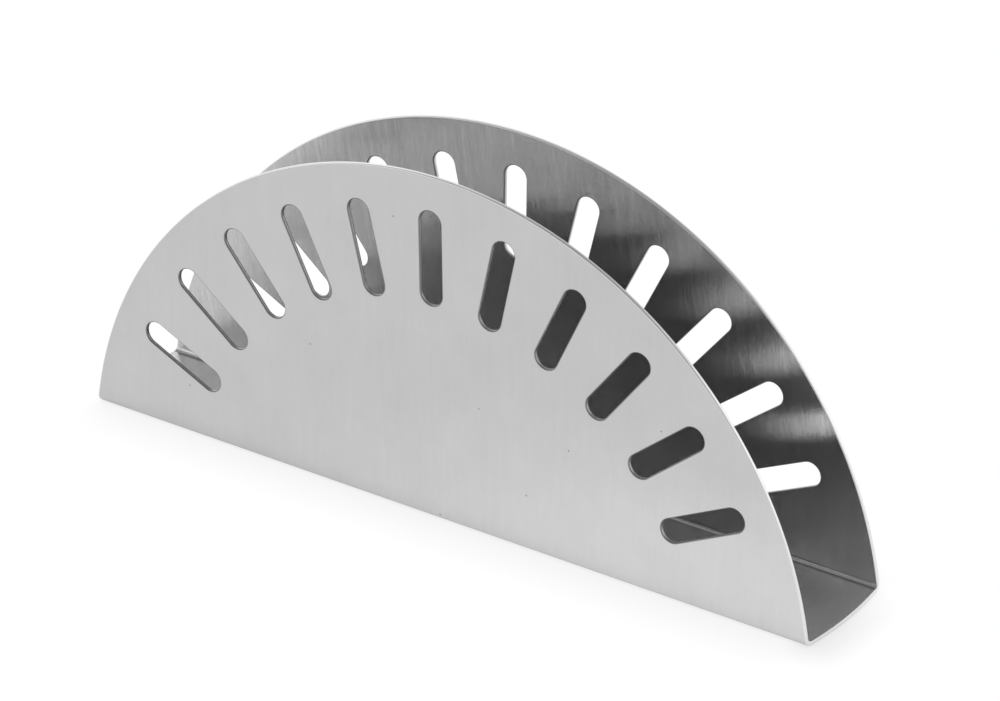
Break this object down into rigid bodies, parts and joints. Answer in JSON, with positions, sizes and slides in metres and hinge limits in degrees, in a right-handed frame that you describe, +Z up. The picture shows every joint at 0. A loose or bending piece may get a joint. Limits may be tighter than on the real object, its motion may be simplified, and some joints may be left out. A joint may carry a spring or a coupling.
{
  "type": "napkin holder",
  "caption": "Napkin holder of brushed steel sheet: a round blank folded into two upright near half-round walls on a narrow flat strip, each wall with a fan of radial slots.",
  "frame": {"origin": "middle of the underside of the flat strip that it stands on", "axes": "+X along the holder and its folds, +Y from the front wall to the rear wall, +Z up"},
  "size_m": [0.15, 0.0232, 0.0647],
  "materials": {
    "steel_sheet": "fine brushed stainless steel, grain square to the folds, cut edges brighter"
  },
  "bodies": {
    "root": {"base_strip": "steel_sheet", "front_fold": "steel_sheet", "rear_fold": "steel_sheet", "front_wall": "steel_sheet", "rear_wall": "steel_sheet"}
  },
  "joints": []
}
